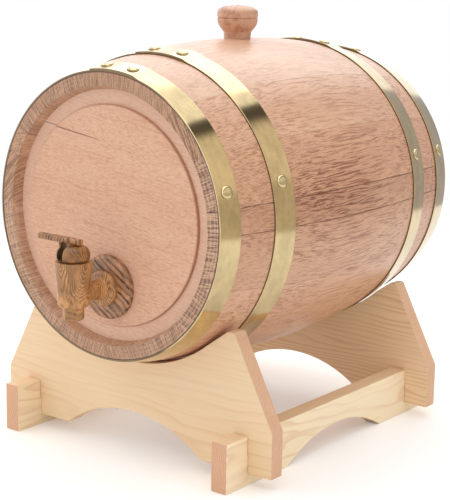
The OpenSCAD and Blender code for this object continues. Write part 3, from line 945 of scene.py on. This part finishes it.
def make_bung():
    foot, top = BUNG_BASE - 0.016, BUNG_BASE + 0.022
    knob = [
        (0, foot), (0.0083, foot), (0.0089, BUNG_BASE), (0.0093, top - 0.0177),
        (0.0094, top - 0.0175),
    ] + smooth_line([
        (0.0096, top - 0.0174), (0.0108, top - 0.0158), (0.0120, top - 0.0143),
        (0.0132, top - 0.0118), (0.0136, top - 0.0092),
    ], 4)
    groove = [
        (0.0136, top - 0.0088), (0.0130, top - 0.0085), (0.0130, top - 0.0083),
        (0.0136, top - 0.0079),
    ]
    knob += groove + smooth_line([
        (0.0136, top - 0.0078), (0.0137, top - 0.0068), (0.0136, top - 0.0052),
        (0.0133, top - 0.0034), (0.0115, top - 0.0020), (0.0083, top - 0.0009), (0.0, top),
    ], 4)
    bung = as_object(turned(knob, upright(0, BUNG_Y), 96), "wood_bung")
    wood = striped_wood(
        "bung_wood", (222, 172, 140), (172, 112, 84), 260, (60, 20, 0), 0.55, 0.12, 0.5)
    piece(bung, wood, "bung", "bung_wood", "bung")


# ---------------------------------------------------------------- stand


def arc(x, z, radius, first, last, steps):
    angles = spread(first, last, steps)
    return [(x + radius * math.cos(a), z + radius * math.sin(a)) for a in angles]


def cradle_outline(saddle, horn):
    """Outline of a cradle board in X and Z: its right half from foot to saddle, and its mirror.

    horn is where the saddle ends in a flare, where the flare meets the top, and the top's height.
    """
    flare_x, top_x, horn_top = horn
    side_top, lean, round_r = 0.037, math.radians(27.5), 0.0015
    lean_x = STAND_HALF_W - (horn_top - side_top) * math.tan(lean)
    round_x = lean_x + round_r * (math.tan(lean) - 1 / math.cos(lean))
    arch_top, arch_r = 0.0275, 0.0912
    arch_half = math.acos((BOARD_Z - arch_top + arch_r) / arch_r)
    slot_low, slot_high = RAIL_X - 0.0059, RAIL_X + 0.0059
    half = arc(0, arch_top - arch_r, arch_r, math.pi / 2, math.pi / 2 - arch_half, 17)
    half += [(slot_low, BOARD_Z), (slot_low, CROSS_Z), (slot_high, CROSS_Z), (slot_high, BOARD_Z)]
    half += [(STAND_HALF_W, BOARD_Z), (STAND_HALF_W, side_top)]
    half += arc(round_x, horn_top - round_r, round_r, lean, math.pi / 2, 5)
    half += [
        (top_x + 0.0012, horn_top), (top_x, horn_top - 0.0002), (top_x - 0.0012, horn_top - 0.001)]
    half += arc(0, AXIS_Z, saddle, -math.acos(flare_x / saddle), -math.pi / 2, 33)
    return half[:-1] + [(-x, z) for x, z in half[::-1]][:-1]


def rail_outline(low, high):
    """Outline of a rail in Y and Z: two feet with an arch between them, and two laps in its top."""
    middle = (low.y + high.y) / 2
    rise, half = 0.0156, 0.055
    arch_r = (half ** 2 + rise ** 2) / (2 * rise)
    turn = math.asin(half / arch_r)
    outline = [(low.y, 0), (middle - half, 0)]
    outline += arc(middle, rise - arch_r, arch_r, math.pi / 2 + turn, math.pi / 2 - turn, 25)[1:-1]
    outline += [(middle + half, 0), (high.y, 0), (high.y, high.z)]
    lap_z = CROSS_Z + CROSS_PLAY
    for crossing in ("cradle_rear", "cradle_front"):
        near, far = (corner.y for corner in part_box(crossing))
        near, far = near - CROSS_PLAY, far + CROSS_PLAY
        outline += [(far, high.z), (far, lap_z), (near, lap_z), (near, high.z)]
    return outline + [(low.y, high.z)]


def make_stand():
    edge_w = 0.0006
    boards = (  # place, horn, pith, spacing of the rings, strength of their lines
        ("front", (0.061, 0.077, 0.0948), (0.03, -0.05), 0.0042, 0.22),
        ("rear", (0.068, 0.079, 0.093), (0.16, -0.10), 0.0032, 0.5),
    )
    for place, horn, pith, spacing, strength in boards:
        low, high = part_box("cradle_" + place)
        is_front = place == "front"
        saddle = wood_radius((high.y if is_front else low.y) - FRONT) + 0.0003
        if not is_front:
            saddle += HOOP_T
        outline = cradle_outline(saddle, horn)
        plate = as_object(board(outline, 1, low.y, high.y), "pine_cradle_" + place)
        round_edges(plate, edge_w)
        wood = pine("pine_board_" + place, 0, pith, spacing, strength, 0.12)
        piece(plate, wood, "stand", "pine_board", "cradle_" + place)
    for side, pith in (("left", (-0.14, 0.03)), ("right", (0.14, 0.012))):
        low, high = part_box("rail_" + side)
        rail = as_object(board(rail_outline(low, high), 0, low.x, high.x), "pine_rail_" + side)
        round_edges(rail, edge_w)
        # The rails' sides get painted light through pale.
        wood = pine("pine_rail_" + side, 1, pith, 0.0026, 0.3, 0.55, 0.8)
        piece(rail, wood, "stand", "pine_rail", "rail_" + side)


# ---------------------------------------------------------------- studio


def make_camera():
    azimuth, elevation, roll = CAMERA_TURN
    back = Vector((
        math.sin(azimuth) * math.cos(elevation), -math.cos(azimuth) * math.cos(elevation),
        math.sin(elevation)))
    right = Vector((math.cos(azimuth), math.sin(azimuth), 0))
    up = back.cross(right)
    rolled_right = right * math.cos(roll) + up * math.sin(roll)
    rolled_up = up * math.cos(roll) - right * math.sin(roll)
    data = bpy.data.cameras.new("camera")
    data.lens = LENS_MM
    data.sensor_width = SENSOR_MM
    data.clip_start = 0.05
    camera = bpy.data.objects.new("camera", data)
    camera.matrix_world = Matrix((rolled_right, rolled_up, back)).transposed().to_4x4()
    camera.location = CAMERA_AT
    bpy.context.scene.collection.objects.link(camera)
    bpy.context.scene.camera = camera


def area_light(name, place, size, watts):
    data = bpy.data.lights.new(name, "AREA")
    data.shape = "RECTANGLE"
    data.size, data.size_y = size
    data.energy = watts
    lamp = bpy.data.objects.new(name, data)
    lamp.location = place
    lamp.rotation_euler = (Vector(AIM) - Vector(place)).to_track_quat("-Z", "Y").to_euler()
    bpy.context.scene.collection.objects.link(lamp)


def make_world():
    """White to the camera, even light on the object, and a studio for the gloss to mirror.

    The studio is white on the left and above, with a dark edge beside it, and a dimmer warm room
    on the right and behind.
    """
    world = bpy.data.worlds.new("studio")
    world.use_nodes = True
    bpy.context.scene.world = world
    n = Nodes(world.node_tree)
    n.tree.nodes.clear()
    x, y, z = n.split(n.add("ShaderNodeTexCoord").outputs["Generated"])
    side = n.plus(n.times(x, -0.849), n.times(y, -0.236), n.times(z, 0.473))
    warm = n.mix(n.step(z, 0.18, 0.28), (0.66, 0.59, 0.50, 1), (0.92, 0.83, 0.74, 1))
    room = n.mix(n.step(y, 0.7, 0.9), warm, (0.50, 0.49, 0.53, 1))
    edge = n.times(n.step(side, -0.24, -0.12), n.step(z, 0.45, 0.58))
    room = n.mix(edge, room, (0.08, 0.07, 0.07, 1))
    studio = n.mix(n.step(side, -0.02, 0.02), room, (1.35, 1.35, 1.4, 1))
    rays = n.add("ShaderNodeLightPath").outputs
    seen = n.mix(rays["Is Glossy Ray"], (AMBIENT, AMBIENT, AMBIENT, 1), studio)
    seen = n.mix(rays["Is Camera Ray"], seen, (1, 1, 1, 1))
    backdrop = n.add("ShaderNodeBackground", {0: seen})
    output = n.add("ShaderNodeOutputWorld")
    n.feed(output.inputs[0], backdrop.outputs[0])


def make_floor():
    bm = bmesh.new()
    bmesh.ops.create_circle(bm, cap_ends=True, segments=96, radius=FLOOR_RADIUS)
    floor = as_object(bm, "floor")
    m = Finish("floor")
    seen = m.add("ShaderNodeLightPath").outputs["Is Camera Ray"]
    floor.data.materials.append(m.shade({
        "Base Color": m.mix(m.noise(m.place, (3, 3, 3)), srgb(251, 251, 251), srgb(249, 249, 249)),
        "Roughness": 0.9,
        "Specular IOR Level": 0.1,
        "Emission Color": (1, 1, 1, 1),
        "Emission Strength": m.times(seen, CAMERA_GLOW),
    }))


def make_studio():
    make_camera()
    make_world()
    make_floor()
    area_light("overhead", (0, -0.1, 1.9), (1.6, 1.6), 7)
    area_light("softbox_left", (-1.5, -0.5, 1.2), (1.4, 1.4), 7)
    area_light("softbox_behind", (-0.6, 1.3, 1.6), (1.6, 1.0), 6.5)
    bpy.context.scene.view_settings.view_transform = "Standard"


make_staves()
make_head("front", FRONT_TILT, False)
make_head("rear", REAR_TILT, True)
make_hoops()
make_rosette()
make_tap()
make_key()
make_bung()
make_stand()
make_studio()
